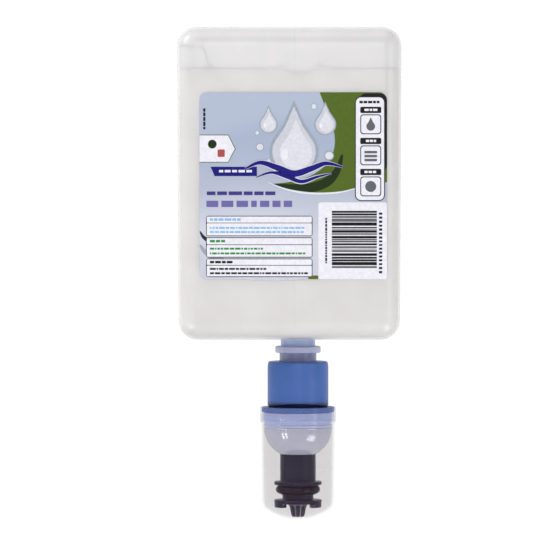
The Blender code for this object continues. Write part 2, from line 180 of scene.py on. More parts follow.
# the cap takes a little of the light that passes through each of its surfaces
clear = plastic("clearPolypropylene", (0.075, 0.030, 0.055), (0.09, 0.04, 0.07), 0.06, 160, 0.05,
                Alpha=0.12)
clearRim = plastic("clearRimPolypropylene", (0.16, 0.19, 0.40), (0.20, 0.23, 0.46), 0.12, 160, 0.05,
                   Alpha=0.20)


def finishPiece(name, form, material, bevel=0.0, angle=35.0, body="bottle", node=None, slot=None):
    bmesh.ops.remove_doubles(form, verts=form.verts, dist=0.000002)
    bmesh.ops.recalc_face_normals(form, faces=form.faces)
    mesh = bpy.data.meshes.new(name)
    form.to_mesh(mesh)
    form.free()
    piece = bpy.data.objects.new(name, mesh)
    bpy.context.scene.collection.objects.link(piece)
    mesh.materials.append(material)
    mesh.shade_smooth()
    mesh.set_sharp_from_angle(angle=math.radians(angle))
    if bevel:
        edge = piece.modifiers.new("edge", "BEVEL")
        edge.width = bevel * mm
        edge.segments = 2
        edge.limit_method = "ANGLE"
        edge.angle_limit = math.radians(38)
        edge.miter_outer = "MITER_ARC"
    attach(piece, body)
    if node:
        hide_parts(*([node] if isinstance(node, str) else node))
    return piece


def arcPoints(centreR, centreZ, radius, start, end, count):
    step = (end - start) / count
    return [(centreR + radius * math.cos(math.radians(start + step * i)),
             centreZ + radius * math.sin(math.radians(start + step * i))) for i in range(count + 1)]


def spinInto(form, profile, steps=96, start=0.0, sweep=360.0):
    # a closed cross-section in mm from the pump's zero, spun about the pump's axis
    turn = Matrix.Rotation(math.radians(start), 3, "Z")
    verts = [form.verts.new(turn @ Vector((r * mm, 0, (z - pumpDrop) * mm))) for r, z in profile]
    edges = [form.edges.new((verts[i], verts[(i + 1) % len(verts)])) for i in range(len(verts))]
    if sweep < 360.0:
        bmesh.ops.contextual_create(form, geom=edges)
        faces = [f for f in form.faces if all(v in verts for v in f.verts)]
        result = bmesh.ops.spin(form, geom=faces + edges + verts, cent=(0, 0, 0), axis=(0, 0, 1),
                                angle=math.radians(sweep), steps=steps, use_merge=False)
    else:
        result = bmesh.ops.spin(form, geom=edges + verts, cent=(0, 0, 0), axis=(0, 0, 1),
                                angle=math.radians(360), steps=steps, use_merge=True)
    return result


def lathe(name, profile, material, steps=96, **rest):
    form = bmesh.new()
    spinInto(form, profile, steps)
    return finishPiece(name, form, material, **rest)


def roundedBox(size, centre, radius, segments, taper=1.0):
    form = bmesh.new()
    bmesh.ops.create_cube(form, size=1.0)
    bmesh.ops.scale(form, vec=[s * mm for s in size], verts=form.verts)
    bmesh.ops.scale(form, vec=(taper, 1, 1), verts=[v for v in form.verts if v.co.z < 0])
    bmesh.ops.bevel(form, geom=form.edges[:], offset=radius * mm, offset_type="OFFSET", segments=segments,
                    profile=0.5, affect="EDGES", material=-1)
    bmesh.ops.translate(form, vec=[c * mm for c in centre], verts=form.verts)
    return form


def wire(name, points, radius, material, cyclic=False, body="bottle", **rest):
    # a thin round strand along a smooth path, turned into a mesh
    curve = bpy.data.curves.new(name, "CURVE")
    curve.dimensions = "3D"
    curve.bevel_depth = radius * mm
    curve.bevel_resolution = 3
    curve.use_fill_caps = True
    line = curve.splines.new("POLY")
    line.points.add(len(points) - 1)
    for target, point in zip(line.points, points):
        target.co = (*[c * mm for c in point], 1.0)
    line.use_cyclic_u = cyclic
    holder = bpy.data.objects.new(name + "Path", curve)
    bpy.context.scene.collection.objects.link(holder)
    mesh = bpy.data.meshes.new_from_object(holder.evaluated_get(bpy.context.evaluated_depsgraph_get()))
    form = bmesh.new()
    form.from_mesh(mesh)
    bpy.data.objects.remove(holder, do_unlink=True)
    return finishPiece(name, form, material, body=body, angle=60, **rest)


def smoothPath(points, count=8):
    # a Catmull-Rom curve through the points
    path = []
    for i in range(len(points) - 1):
        p = [Vector(points[max(0, min(len(points) - 1, i + k))]) for k in (-1, 0, 1, 2)]
        for s in range(count):
            t = s / count
            path.append(tuple(0.5 * ((2 * p[1]) + (p[2] - p[0]) * t
                                     + (2 * p[0] - 5 * p[1] + 4 * p[2] - p[3]) * t * t
                                     + (3 * p[1] - p[0] - 3 * p[2] + p[3]) * t ** 3)))
    path.append(tuple(points[-1]))
    return path


bottle = {
    "low": [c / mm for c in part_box("soap_bottle")[0]],
    "high": [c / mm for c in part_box("soap_bottle")[1]],
    "corner": 10.5, "taper": 0.987, "wall": 1.1, "fillTop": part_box("soap_fill")[1][2] / mm,
    "neck": 9.2, "neckFoot": 9.85, "neckBore": 7.9, "mouth": -18.5,
    "ring": 12.15, "ringTop": -2.7, "ringFoot": -6.3,
    "seamX": -2.0, "seamProud": 0.10, "seamHalf": 0.18,
    "meniscus": 0.9,
}
bottleWidth = bottle["high"][0] - bottle["low"][0]
bottleDepth = bottle["high"][1] - bottle["low"][1]
bottleTop = bottle["high"][2]
bottleX = 0.5 * (bottle["high"][0] + bottle["low"][0])
bottleCentre = (bottleX, 0, 0.5 * bottleTop)


def makeBottle():
    form = roundedBox((bottleWidth, bottleDepth, bottleTop), bottleCentre, bottle["corner"], 10,
                      bottle["taper"])
    bmesh.ops.recalc_face_normals(form, faces=form.faces)
    wall = roundedBox([s - 2 * bottle["wall"] for s in (bottleWidth, bottleDepth, bottleTop)],
                      bottleCentre, bottle["corner"] - bottle["wall"], 8, bottle["taper"])
    bmesh.ops.recalc_face_normals(wall, faces=wall.faces)
    bmesh.ops.reverse_faces(wall, faces=wall.faces)
    inner = bpy.data.meshes.new("bottleInner")
    wall.to_mesh(inner)
    wall.free()
    mesh = bpy.data.meshes.new("bottleBody")
    form.from_mesh(inner)
    form.to_mesh(mesh)
    form.free()
    piece = bpy.data.objects.new("bottleBody", mesh)
    bpy.context.scene.collection.objects.link(piece)
    mesh.materials.append(milky)
    mesh.shade_smooth()
    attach(piece, "bottle")
    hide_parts("soap_bottle")

    b = bottle
    upper = [(b["neck"], pumpDrop - 0.05), (b["neck"], b["ringTop"]), (b["neckBore"], b["ringTop"]),
             (b["neckBore"], pumpDrop - 0.05)]
    lathe("neckUpper", upper, neckMilky, node="soap_bottle", slot="bottle_plastic")
    ring = arcPoints(b["ring"] - 0.9, b["ringTop"] - 0.9, 0.9, 90, 0, 5)
    ring += arcPoints(b["ring"] - 0.9, b["ringFoot"] + 0.9, 0.9, 0, -90, 5)
    ring += [(b["neckBore"], b["ringFoot"]), (b["neckBore"], b["ringTop"] - 0.05)]
    lathe("neckRing", ring, ringMilky, node="soap_bottle", slot="bottle_plastic")
    lower = [(b["neckFoot"], b["ringFoot"] - 0.05), (b["neckFoot"], -12.9), (10.9, -13.4), (10.9, -14.4),
             (9.9, -16.2), (9.9, b["mouth"]), (b["neckBore"], b["mouth"]),
             (b["neckBore"], b["ringFoot"] - 0.05)]
    lathe("neckLower", lower, shadedNeckThread, bevel=0.12, node="soap_bottle", slot="bottle_plastic")


def makeSeam():
    # the mould's parting line over the front, the base and the underside, and down the neck
    proud = bottle["seamProud"]
    form = roundedBox((bottleWidth, bottleDepth + proud, bottleTop + proud), bottleCentre,
                      bottle["corner"], 10, bottle["taper"])
    for side in (-1, 1):
        bmesh.ops.bisect_plane(form, geom=form.verts[:] + form.edges[:] + form.faces[:], dist=0.0000001,
                               plane_co=((bottle["seamX"] + bottle["seamHalf"] * side) * mm, 0, 0),
                               plane_no=(side, 0, 0), clear_outer=True)
    bmesh.ops.recalc_face_normals(form, faces=form.faces)
    bmesh.ops.solidify(form, geom=form.faces[:], thickness=0.08 * mm)
    finishPiece("mouldSeam", form, seamPlastic, slot="bottle_plastic")
    form = bmesh.new()
    bmesh.ops.create_cube(form, size=1.0)
    bmesh.ops.scale(form, vec=(0.35 * mm, 0.5 * mm, 12.0 * mm), verts=form.verts)
    bmesh.ops.translate(form, vec=(-0.9 * mm, -9.7 * mm, -6.2 * mm), verts=form.verts)
    finishPiece("neckSeam", form, seamPlastic, slot="bottle_plastic")


def makeFill():
    inset = bottle["wall"] + 0.3
    form = roundedBox([s - 2 * inset for s in (bottleWidth, bottleDepth, bottleTop)], bottleCentre,
                      bottle["corner"] - inset, 8, bottle["taper"])
    level, climb = bottle["fillTop"], bottle["meniscus"]
    cut = bmesh.ops.bisect_plane(form, geom=form.verts[:] + form.edges[:] + form.faces[:], dist=0.0000001,
                                 plane_co=(0, 0, (level - climb) * mm), plane_no=(0, 0, 1),
                                 clear_outer=True)
    rim = [e for e in cut["geom_cut"] if isinstance(e, bmesh.types.BMEdge)]
    # the meniscus climbs the wall, then the surface lies a little lower
    lifted = bmesh.ops.extrude_edge_only(form, edges=rim)
    verts = [v for v in lifted["geom"] if isinstance(v, bmesh.types.BMVert)]
    edges = [e for e in lifted["geom"] if isinstance(e, bmesh.types.BMEdge)]
    bmesh.ops.translate(form, vec=(0, 0, climb * mm), verts=verts)
    for drop in (0.45, 0.75):
        lifted = bmesh.ops.extrude_edge_only(form, edges=edges)
        verts = [v for v in lifted["geom"] if isinstance(v, bmesh.types.BMVert)]
        edges = [e for e in lifted["geom"] if isinstance(e, bmesh.types.BMEdge)]
        centre = Vector((bottleX * mm, 0, 0))
        for v in verts:
            flat = Vector((v.co.x, v.co.y, 0)) - centre
            inward = flat.normalized() * 0.8 * mm
            v.co.x -= inward.x
            v.co.y -= inward.y
            v.co.z = (level - drop) * mm
    bmesh.ops.contextual_create(form, geom=edges)
    finishPiece("soapLiquid", form, soap, node="soap_fill", slot="soap")


def inWall(x, z):
    # the point halfway through the front wall, which curves away at the corners
    b = bottle
    middle = b["corner"] - 0.5 * b["wall"]
    across = max(0, abs(x - bottleX) - (0.5 * bottleWidth - b["corner"]))
    up = max(0, z - (bottleTop - b["corner"]))
    depth = math.sqrt(max(0.5, middle ** 2 - across ** 2 - up ** 2))
    return x, -(0.5 * bottleDepth - b["corner"]) - depth, z


def makeFoam():
    # soap films in the headspace: their edges on the front wall, and one bubble on the surface
    level = bottle["fillTop"]
    left, right = bottle["low"][0] + 1.6, bottle["high"][0] - 1.6
    shelf = level + 11.4
    strands = {
        "foamEdgeShelf": [(left, shelf + 0.6), (-60, shelf + 0.3), (-56, shelf), (-50.6, shelf + 0.1)],
        "foamEdgeRise": [(-50.6, shelf + 0.1), (-50.2, shelf + 2.6), (-50.4, shelf + 5.4)],
        "foamEdgeFall": [(-50.6, shelf + 0.1), (-49.4, level + 8.4), (-48.3, level + 5.0),
                         (-47.4, level + 2.6), (-46.0, level + 0.1)],
        "foamEdgeLoop": [(-50.5, level), (-49.2, level + 1.1), (-48.0, level + 0.6), (-47.6, level - 0.9),
                         (-46.6, level + 0.9), (-45.2, level + 1.2), (-43.5, level + 0.1)],
        "bubbleRim": [(-9.6, level + 0.2), (-8.2, level + 2.4), (-7.1, level + 0.4), (-4.4, level - 2.0),
                      (1.2, level - 2.8), (6.2, level - 2.0), (9.4, level + 0.6), (10.9, level + 2.9),
                      (12.4, level + 0.7), (15.0, level)],
        "levelLeft": [(left, level), (-61, level), (-56, level), (-30, level), (-9.6, level + 0.2)],
        "levelRight": [(15.0, level), (30, level), (46, level), (51, level), (right, level)],
    }
    for name, points in strands.items():
        path = [inWall(p[0], p[1]) for p in smoothPath([(x, z, 0) for x, z in points])]
        wire(name, path, 0.26, filmLine, slot="soap")


makeBottle()
makeSeam()
makeFill()
makeFoam()
print("bottle done")


label = {
    "left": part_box("front_label")[0][0] / mm, "right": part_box("front_label")[1][0] / mm,
    "top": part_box("front_label")[1][2] / mm, "foot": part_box("front_label")[0][2] / mm,
    "corner": 4.3, "thickness": 0.12, "inkStep": 0.03,
}
labelWidth = label["right"] - label["left"]
labelHeight = label["top"] - label["foot"]
labelFront = -(bottleDepth / 2 + 0.05 + label["thickness"])

inks = {
    "white": ink("inkWhite", (0.86, 0.85, 0.92)),
    "black": ink("inkBlack", (0.006, 0.006, 0.008)),
    "outline": ink("inkOutline", (0.02, 0.02, 0.03)),
    "grey": ink("inkGrey", (0.13, 0.13, 0.15)),
    "navy": ink("inkNavy", (0.006, 0.004, 0.19)),
    "violet": ink("inkViolet", (0.055, 0.040, 0.24)),
    "violetSoft": ink("inkVioletSoft", (0.16, 0.14, 0.40)),
    "sky": ink("inkSky", (0.25, 0.50, 0.85)),
    "green": ink("inkGreen", (0.03, 0.28, 0.06)),
    "leaf": ink("inkLeaf", (0.085, 0.140, 0.012)),
    "leafDark": ink("inkLeafDark", (0.010, 0.026, 0.002)),
    "silver": ink("inkSilver", (0.36, 0.40, 0.48), 0.25),
    "silverLight": ink("inkSilverLight", (0.62, 0.64, 0.71), 0.25),
    "silverPale": ink("inkSilverPale", (0.74, 0.75, 0.82), 0.25),
    "red": ink("inkRed", (0.42, 0.08, 0.08)),
    "frost": ink("inkFrost", (0.80, 0.82, 0.88)),
}


def filmMaterial():
    # the film's printed ground: pale blue above, paler and cooler towards the foot
    material, shader = newMaterial("labelFilm", (0.5, 0.6, 0.7), 0.35)
    tree = material.node_tree
    coords = tree.nodes.new("ShaderNodeTexCoord")
    mapping = tree.nodes.new("ShaderNodeMapping")
    mapping.inputs["Location"].default_value = (0, 0, -label["foot"] / labelHeight)
    mapping.inputs["Scale"].default_value = (1 / (labelHeight * mm),) * 3
    split = tree.nodes.new("ShaderNodeSeparateXYZ")
    noise = tree.nodes.new("ShaderNodeTexNoise")
    noise.inputs["Scale"].default_value = 1.6
    noise.inputs["Detail"].default_value = 1.0
    tilt = tree.nodes.new("ShaderNodeMath")
    tilt.operation = "MULTIPLY_ADD"
    tilt.inputs[1].default_value = 0.35
    ramp = tree.nodes.new("ShaderNodeValToRGB")
    stops = ((0.15, (0.58, 0.59, 0.68)), (0.42, (0.64, 0.66, 0.75)), (0.66, (0.45, 0.49, 0.62)),
             (0.88, (0.38, 0.45, 0.60)), (1.15, (0.44, 0.50, 0.64)))
    ramp.color_ramp.elements[0].position = stops[0][0]
    ramp.color_ramp.elements[0].color = (*stops[0][1], 1)
    ramp.color_ramp.elements[1].position = 1.0
    ramp.color_ramp.elements[1].color = (*stops[-1][1], 1)
    for position, colour in stops[1:-1]:
        ramp.color_ramp.elements.new(position).color = (*colour, 1)
    link = tree.links.new
    link(coords.outputs["Object"], mapping.inputs["Vector"])
    link(mapping.outputs["Vector"], split.inputs["Vector"])
    link(mapping.outputs["Vector"], noise.inputs["Vector"])
    link(noise.outputs["Fac"], tilt.inputs[0])
    link(split.outputs["Z"], tilt.inputs[2])
    link(tilt.outputs["Value"], ramp.inputs["Fac"])
    link(ramp.outputs["Color"], shader.inputs["Base Color"])
    return material


def boxShape(u0, v0, u1, v1, corner=0.0):
    # a rectangle on the label, in mm from its top left corner, with rounded corners if asked
    form = bmesh.new()
    bmesh.ops.create_grid(form, x_segments=1, y_segments=1, size=0.5)
    bmesh.ops.scale(form, vec=(u1 - u0, v1 - v0, 1), verts=form.verts)
    bmesh.ops.translate(form, vec=(0.5 * (u0 + u1), 0.5 * (v0 + v1), 0), verts=form.verts)
    if corner:
        bmesh.ops.bevel(form, geom=form.verts[:], offset=corner, offset_type="OFFSET", segments=6,
                        profile=0.5, affect="VERTICES", material=-1)
    return form


def discShape(u, v, radius, squeeze=1.0):
    form = bmesh.new()
    bmesh.ops.create_circle(form, cap_ends=True, segments=64, radius=radius)
    bmesh.ops.scale(form, vec=(squeeze, 1, 1), verts=form.verts)
    bmesh.ops.translate(form, vec=(u, v, 0), verts=form.verts)
    return form


def freeShape(points):
    form = bmesh.new()
    verts = [form.verts.new((u, v, 0)) for u, v in points]
    edges = [form.edges.new((verts[i - 1], verts[i])) for i in range(len(verts))]
    bmesh.ops.contextual_create(form, geom=edges)
    return form


def dropShape(u, v, radius):
    # a round drop with its point up
    points = [(u + radius * math.cos(math.radians(a)), v + radius * math.sin(math.radians(a)))
              for a in range(-30, 211, 8)]
    points += [(u - radius * 0.42, v - radius * 1.15), (u, v - radius * 2.1),
               (u + radius * 0.42, v - radius * 1.15)]
    return freeShape(points)


def bandShape(line, width):
    # a stroke of tapering width along a smooth line
    path = smoothPath([(u, v, 0) for u, v in line])
    above, below = [], []
    for i, point in enumerate(path):
        ahead = Vector(path[min(i + 1, len(path) - 1)]) - Vector(path[max(i - 1, 0)])
        side = Vector((-ahead.y, ahead.x, 0)).normalized()
        half = 0.5 * width * math.sin(math.pi * (0.06 + 0.88 * i / (len(path) - 1)))
        above.append((point[0] + side.x * half, point[1] + side.y * half))
        below.append((point[0] - side.x * half, point[1] - side.y * half))
    return freeShape(above + below[::-1])


def printShapes(name, shapes, level, colour):
    # all the shapes of one colour and level become one thin layer of ink on the film
    form = bmesh.new()
    for shape in shapes:
        bmesh.ops.recalc_face_normals(shape, faces=shape.faces)
        if shape.faces and sum(f.normal.z for f in shape.faces) < 0:
            bmesh.ops.reverse_faces(shape, faces=shape.faces)
        mesh = bpy.data.meshes.new("shape")
        shape.to_mesh(mesh)
        shape.free()
        form.from_mesh(mesh)
        bpy.data.meshes.remove(mesh)
    for v in form.verts:
        v.co = Vector(((label["left"] + v.co.x) * mm, (labelFront - label["inkStep"] * (level - 1)) * mm,
                       (label["top"] - v.co.y) * mm))
    grown = bmesh.ops.extrude_face_region(form, geom=form.faces[:])
    verts = [v for v in grown["geom"] if isinstance(v, bmesh.types.BMVert)]
    bmesh.ops.translate(form, vec=(0, -label["inkStep"] * mm, 0), verts=verts)
    mesh = bpy.data.meshes.new(name)
    bmesh.ops.recalc_face_normals(form, faces=form.faces)
    form.to_mesh(mesh)
    form.free()
    piece = bpy.data.objects.new(name, mesh)
    bpy.context.scene.collection.objects.link(piece)
    mesh.materials.append(inks[colour])
    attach(piece, "bottle")
    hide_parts("front_label")
    return piece


def strokeRow(u0, u1, v, height, seed, widths=(0.7, 3.2), gap=0.45):
    # a row of short strokes where a line of print would be
    draw = random.Random(seed)
    shapes, u = [], u0
    while u < u1 - widths[0]:
        end = min(u1, u + draw.uniform(*widths))
        shapes.append(boxShape(u, v - height / 2, end, v + height / 2, min(0.16, height * 0.3)))
        u = end + gap
    return shapes


def strokeColumn(u, v0, v1, width, seed, lengths=(0.7, 2.4), gap=0.45):
    draw = random.Random(seed)
    shapes, v = [], v0
    while v < v1 - lengths[0]:
        end = min(v1, v + draw.uniform(*lengths))
        shapes.append(boxShape(u - width / 2, v, u + width / 2, end, min(0.16, width * 0.3)))
        v = end + gap
    return shapes


def makeFilm():
    form = boxShape(0, 0, labelWidth, labelHeight, label["corner"])
    grown = bmesh.ops.extrude_face_region(form, geom=form.faces[:])
    verts = [v for v in grown["geom"] if isinstance(v, bmesh.types.BMVert)]
    bmesh.ops.translate(form, vec=(0, 0, 1), verts=verts)
    for v in form.verts:
        depth = v.co.z
        v.co = Vector(((label["left"] + v.co.x) * mm, (labelFront + label["thickness"] * (1 - depth)) * mm,
                       (label["top"] - v.co.y) * mm))
    finishPiece("labelFilm", form, filmMaterial(), node="front_label", slot="label_film")


def makePrint():
    w, h = labelWidth, labelHeight
    # the green field over the right half, with a darker foot
    edge = [(p[0], p[1]) for p in smoothPath([(63.5, 0.06, 0), (67, 9, 0), (70.5, 18, 0), (71.5, 28, 0),
                                              (68, 37, 0), (60, 43.5, 0), (50, 47, 0), (38, 48.5, 0)])]
    foot = [(p[0], p[1]) for p in smoothPath([(38, 48.5, 0), (48, 52.2, 0), (60, 53.6, 0), (72, 53.0, 0),
                                              (83, 50.6, 0), (w, 47.5, 0)])]
    corner = [(w - 4.3 + 4.3 * math.cos(math.radians(a)), 4.3 - 4.3 * math.sin(math.radians(a)))
              for a in range(0, 91, 15)]
    printShapes("printGreenField", [freeShape(edge + foot[1:] + corner)], 1, "leaf")
    shade = [(40, 48.9), (50, 50.3), (60, 50.2), (68, 47.0), (73, 41), (75.5, 33)]
    line = [(36, 47.6), (47, 51.6), (60, 53.5), (74, 52.9), (84, 50.3)]
    printShapes("printGreenFoot", [bandShape(shade, 5.0)], 2, "leafDark")
    printShapes("printGreenLine", [bandShape(line, 1.1)], 3, "frost")

    # silver drops and bubbles with a pair of plain waves below them
    bigDrops = [(50.0, 31.5, 13.0), (66.5, 17.0, 5.8), (36.5, 17, 4.8)]
    printShapes("printDropEdge", [dropShape(u, v, r) for u, v, r in bigDrops], 4, "silver")
    printShapes("printDropBody", [dropShape(u, v, r * 0.88) for u, v, r in bigDrops], 5, "silverLight")
    hearts = [dropShape(u + r * 0.08, v + r * 0.05, r * 0.66) for u, v, r in bigDrops]
    glints = [discShape(u - r * 0.38, v + r * 0.1, r * 0.22, 0.6) for u, v, r in bigDrops]
    printShapes("printDropHeart", hearts, 6, "silverPale")
    printShapes("printDropGlint", glints, 7, "white")
    bubbles = [(32, 29, 2.2), (36.5, 36.5, 1.4), (68.5, 33.5, 2.6), (30.5, 21.5, 1.2), (60.5, 7.5, 1.7)]
    printShapes("printBubbleEdge", [discShape(u, v, r) for u, v, r in bubbles], 4, "silver")
    printShapes("printBubbleBody", [discShape(u, v, r * 0.78) for u, v, r in bubbles], 5, "silverPale")
    waveTop = [(24, 40.5), (32, 37.2), (41, 39.8), (50, 43.0), (59, 40.4), (67, 37.6), (76, 39.6)]
    waveLow = [(30, 45.0), (38, 42.4), (46, 44.6), (54, 47.2), (62, 44.8), (70, 42.8)]
    printShapes("printWaveEdge", [bandShape(waveTop, 4.4), bandShape(waveLow, 3.0)], 8, "silverPale")
    printShapes("printWaves", [bandShape(waveTop, 3.4), bandShape(waveLow, 2.0)], 9, "navy")

    # the white tab on the left with its thin green edge
    tab = [(0.06, 22.4), (15.3, 22.4), (19.2, 29.8), (15.3, 37.2), (0.06, 37.2)]
    inner = [(0.06, 22.8), (15.1, 22.8), (18.7, 29.8), (15.1, 36.8), (0.06, 36.8)]
    printShapes("printTabEdge", [freeShape(tab)], 1, "leaf")
    printShapes("printTab", [freeShape(inner)], 2, "white")
    printShapes("printTabDisc", [discShape(6.8, 27.4, 2.3)], 3, "leafDark")
    printShapes("printTabBar", [boxShape(9.6, 30.2, 13.4, 34.2, 0.6)], 3, "red")

    # navy bar, sub-line and headline as plain strokes
    bar = [(5.9, 39.4), (30.4, 39.4), (30.4, 44.3), (8.0, 44.3)]
    printShapes("printBar", [freeShape(bar)], 3, "navy")
    printShapes("printBarStrokes", strokeRow(10.4, 27.8, 41.7, 1.3, 3, (1.4, 4.6), 0.8), 4, "frost")
    printShapes("printSubline", strokeRow(3.9, 43.2, 53.4, 1.9, 11, (2.2, 7.5), 0.9), 3, "violet")
    printShapes("printHeadline", strokeRow(3.7, 49.0, 59.0, 3.3, 23, (2.6, 6.5), 1.7), 3, "violetSoft")
    printShapes("printSideStrokes", strokeColumn(2.6, 8.5, 19.6, 1.1, 5, (0.8, 2.4), 0.4), 3, "black")

    # silver sweeps behind the foot of the text
    sweeps = {
        "printSweepDark": ([(0.3, 73.4), (2.2, 76.6), (7, 79.4), (16, 82.2), (28, 84.2)], 2.3, "outline"),
        "printSweepGrey": ([(0.3, 80.6), (3.4, 84.6), (12, 89.2), (26, 93.4), (42, 95.6)], 3.4, "silver"),
        "printSweepPale": ([(0.5, 88), (8, 93.6), (22, 97.2), (40, 98.6), (58, 98.4)], 2.6, "silverLight"),
    }
    for name, (line, width, colour) in sweeps.items():
        printShapes(name, [bandShape(line, width)], 1, colour)
    printShapes("printFootLeaf", [boxShape(57.5, 96.9, 62.8, h - 0.06)], 1, "leaf")

    # three ruled boxes with rows of strokes
    boxes = [(65.3, 76.1, 69.1, "sky", 67.3, (71.7, 73.9), 31),
             (76.7, 87.4, 80.6, "green", 78.7, (82.7, 85.2), 41),
             (87.9, 97.7, 91.5, "black", 89.8, (93.4, 95.7), 51)]
    titleLengths, rowEnds = (17, 8.5, 12), (55.5, 56, 34, 56, 36, 58)
    for i, (v0, v1, rule, colour, title, rows, seed) in enumerate(boxes):
        printShapes(f"printBoxEdge{i + 1}", [boxShape(3.5, v0, 59.8, v1, 1.2)], 2, "outline")
        printShapes(f"printBox{i + 1}", [boxShape(3.9, v0 + 0.4, 59.4, rule - 0.17, 0.5),
                                         boxShape(3.9, rule + 0.17, 59.4, v1 - 0.4, 0.5)], 3, "white")
        shapes = strokeRow(5.5, 5.5 + titleLengths[i], title, 1.25, seed, (1.6, 4.5), 0.5)
        for k, row in enumerate(rows):
            shapes += strokeRow(5.5, rowEnds[2 * i + k], row, 1.0, seed + k + 1)
        printShapes(f"printBoxStrokes{i + 1}", shapes, 4, colour)

    # the white block with a made-up bar pattern
    block = boxShape(62.9, 58.2, w - 0.06, h - 0.06, 1.2)
    printShapes("printCodeBlock", [block], 2, "white")
    draw = random.Random(71)
    bars, greys, v = [], [], 62.7
    while v < 93.0:
        thick = draw.choice((0.34, 0.68, 1.02, 1.36, 1.7))
        shade = greys if draw.random() < 0.25 else bars
        shade.append(boxShape(70.0, v, 93.8, min(93.5, v + thick)))
        v += thick + draw.choice((0.34, 0.34, 0.51, 0.68))
    printShapes("printBars", bars, 3, "black")
    printShapes("printBarsPale", greys, 3, "grey")
    printShapes("printCodeStrokes", strokeColumn(67.0, 66.4, 90.4, 1.0, 13, (0.6, 2.0), 0.35)
                + strokeColumn(95.8, 63.6, 96.4, 1.7, 17, (1.0, 1.3), 0.9), 3, "outline")

    # the upright white panel with three plain pictures
    printShapes("printPanelShade", [boxShape(84.5, 0.6, w - 0.06, 42.0, 3.6)], 4, "black")
    printShapes("printPanelEdge", [boxShape(82.2, 2.2, 98.1, 57.5, 3.2)], 5, "outline")
    printShapes("printPanel", [boxShape(82.7, 2.7, 97.6, 57.0, 2.8)], 6, "white")
    for i, v in enumerate((16.6, 33.0, 49.4)):
        printShapes(f"printPanelTab{i + 1}", [boxShape(85.0, v - 8.9, 96.1, v - 5.6, 0.7)], 7, "black")
        printShapes(f"printPictureEdge{i + 1}", [boxShape(85.0, v - 4.9, 96.1, v + 5.6, 1.6)], 7,
                    "outline")
        printShapes(f"printPicture{i + 1}", [boxShape(85.5, v - 4.4, 95.6, v + 5.1, 1.3)], 8, "white")
    printShapes("printPanelStrokes", strokeRow(84.6, 96.6, 5.2, 1.3, 61, (1.0, 2.6), 0.4), 7, "black")
    printShapes("printPanelTabStrokes", strokeRow(87.2, 94.2, 9.3, 1.2, 62, (1.2, 2.4), 0.4)
                + strokeRow(88, 93.4, 25.7, 1.2, 63, (1.2, 2.4), 0.4)
                + strokeRow(87.2, 94.2, 42.1, 1.2, 64, (1.2, 2.4), 0.4), 8, "white")
    marks = [dropShape(90.55, 18.0, 2.3)]
    marks += [boxShape(87.2, v, 93.9, v + 1.3, 0.3) for v in (35.2, 31.0, 33.1)]
    marks += [discShape(90.55, 49.8, 2.9)]
    printShapes("printPictureMarks", marks, 9, "grey")


makeFilm()
makePrint()
print("label done")


pump = {
    "collar": 16.25, "collarTop": -10.9, "collarFoot": -34.4, "archRise": 1.3, "archHalf": 13.5,
    "flange": 19.3, "flangeTop": -35.2, "flangeFoot": -37.8,
    "bell": 18.25, "bellWall": 1.1, "bellZ": -46.5, "bellDepth": 16.6,
    "stem": 9.5, "stemFlange": 12.65, "stemFoot": -86.9, "stemFeet": -88.9, "nozzleTip": -94.1,
    "feetStarts": (8, -48, 132, 188), "footSweep": 40, "ribs": 8, "ribSweep": 30,
}


def makeCollar():
    p = pump
    profile = [(10.2, p["collarTop"] - 0.2), (10.5, p["collarTop"])]
    profile += arcPoints(p["collar"] - 1.3, p["collarTop"] - 1.1, 1.1, 90, 8, 6)
    profile += [(p["collar"], -14.0), (p["collar"], p["collarFoot"]), (15.5, p["collarFoot"]),
                (15.5, -31.2), (14.8, -31.2), (14.8, -30.7), (15.15, -30.4), (15.15, -28.8),
                (14.8, -28.5), (14.8, -12.7), (10.2, -12.7)]
    form = bmesh.new()
    spinInto(form, profile, 128)
    # the foot arches up at front and back over the near-black seal ring, to show the painted shade above
    # the flange
    for v in form.verts:
        if v.co.z < (p["collarFoot"] - pumpDrop + 0.05) * mm:
            share = v.co.x / mm / p["archHalf"]
            v.co.z += max(0.0, 1 - share * share) * p["archRise"] * mm
    finishPiece("collarShell", form, collarBlueFootShade, bevel=0.2, node="pump_collar", slot="blue_plastic")


def makeBase():
    p = pump
    profile = [(14.4, -22.0), (14.4, -29.0), (14.75, -29.3), (14.75, -29.9), (14.4, -30.2),
               (14.4, p["flangeTop"]), (p["flange"], p["flangeTop"]), (p["flange"], p["flangeFoot"]),
               (16.8, p["flangeFoot"]), (16.8, -41.5), (15.6, -41.5), (15.6, p["flangeFoot"]),
               (5.9, p["flangeFoot"]),
               (5.9, p["flangeTop"]), (13.0, p["flangeTop"]), (13.0, -22.0)]
    lathe("baseFlange", profile, bluePlastic, 128, bevel=0.3, node="pump_base", slot="blue_plastic")
    # the seal ring under the collar's foot, kept near-black as painted shade above the flange
    seal = [(15.2, -31.5), (15.2, -34.7), (15.95, -34.7), (15.95, -34.9), (14.75, -34.9), (14.75, -31.5)]
    lathe("sealRing", seal, sealShadeRubber, 128, bevel=0.15, node="foot_seal", slot="dark_rubber")


def bellCurve(radius, depth, hole, count):
    # the round end's outline, from the side in to the hole at the foot
    last = math.acos(hole / radius)
    return [(radius * math.cos(last * i / count), pump["bellZ"] - depth * math.sin(last * i / count))
            for i in range(count + 1)]


